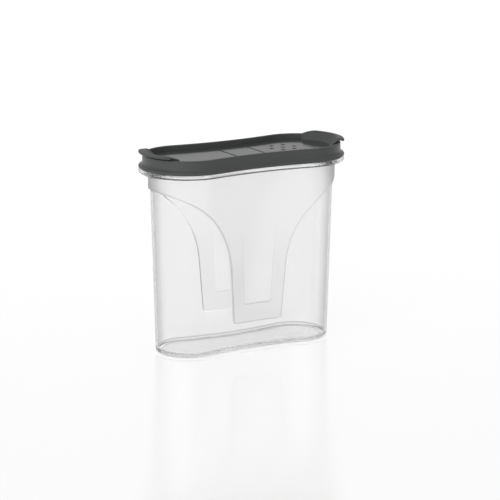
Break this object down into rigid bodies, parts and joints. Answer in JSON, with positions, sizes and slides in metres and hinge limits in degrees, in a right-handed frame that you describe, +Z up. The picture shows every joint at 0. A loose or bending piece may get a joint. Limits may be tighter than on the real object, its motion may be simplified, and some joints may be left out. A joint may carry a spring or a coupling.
{
  "type": "spice jar",
  "caption": "Slim waisted clear jar for spice or dry food, with a frosted T-shaped grip panel and a dark lid that has a pour flap and a sprinkle flap.",
  "frame": {"origin": "centre of the jar's underside, on the surface it stands on", "axes": "+X along the length towards the sprinkle flap, +Y across it, +Z up"},
  "size_m": [0.121, 0.052, 0.1112],
  "materials": {
    "clear_plastic": "clear, with a frosted grip panel",
    "dark_plastic": "satin"
  },
  "bodies": {
    "jar": {"jar_body": "clear_plastic"},
    "lid": {"lid_frame": "dark_plastic", "hinge_bridge": "dark_plastic"},
    "pour_flap": {"pour_flap": "dark_plastic"},
    "sprinkle_flap": {"sprinkle_flap": "dark_plastic"}
  },
  "joints": [
    {"name": "lid_lift", "type": "slide", "parent": "jar", "child": "lid", "axis": [0, 0, 1], "range_m": [0, 0.03]},
    {"name": "pour_flap_hinge", "type": "hinge", "parent": "lid", "child": "pour_flap", "pos_m": [-0.0106, 0, 0.1052], "axis": [0, 1, 0], "range_deg": [0, 90]},
    {"name": "sprinkle_flap_hinge", "type": "hinge", "parent": "lid", "child": "sprinkle_flap", "pos_m": [0.0106, 0, 0.1052], "axis": [0, -1, 0], "range_deg": [0, 90]}
  ]
}
